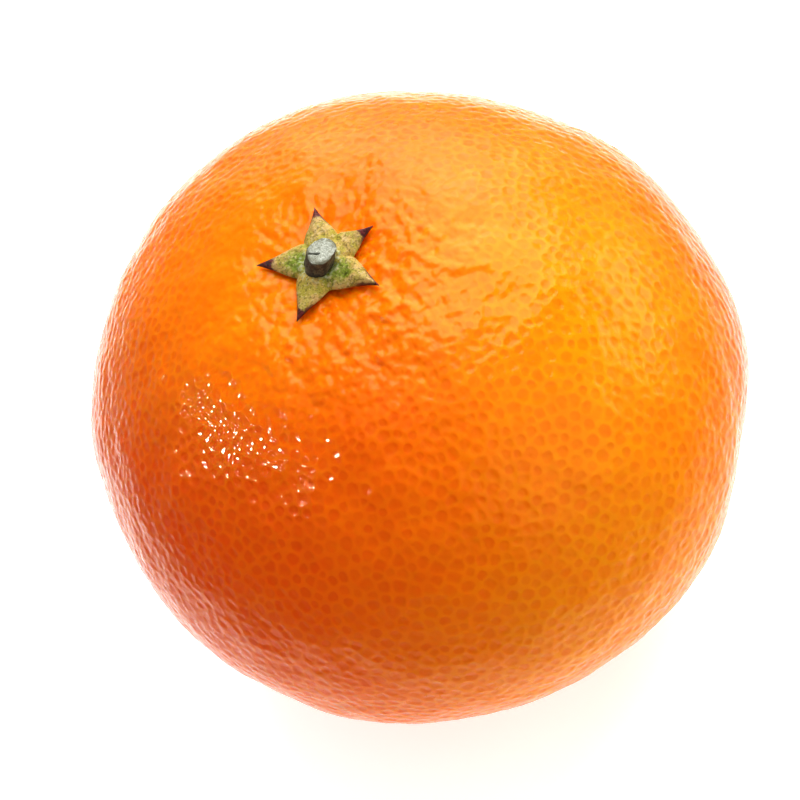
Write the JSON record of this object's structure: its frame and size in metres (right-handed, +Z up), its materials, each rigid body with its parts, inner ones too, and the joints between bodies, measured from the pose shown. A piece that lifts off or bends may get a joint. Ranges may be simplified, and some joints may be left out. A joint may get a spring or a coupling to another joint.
{
  "type": "satsuma",
  "caption": "Whole satsuma: a flattened round orange fruit with its dried star-shaped calyx and the cut stub of its stem.",
  "frame": {"origin": "middle of the small flat spot at the blossom end, which the fruit rests on", "axes": "+Z up along the fruit's axis to the stem end; +X and +Y level, with the wider diameter near Y"},
  "size_m": [0.0603, 0.0638, 0.0519],
  "materials": {
    "peel": "satin",
    "calyx": "matte",
    "stem": "matte"
  },
  "bodies": {
    "root": {"fruit": "peel", "calyx": "calyx", "stem_stub": "stem"}
  },
  "joints": []
}
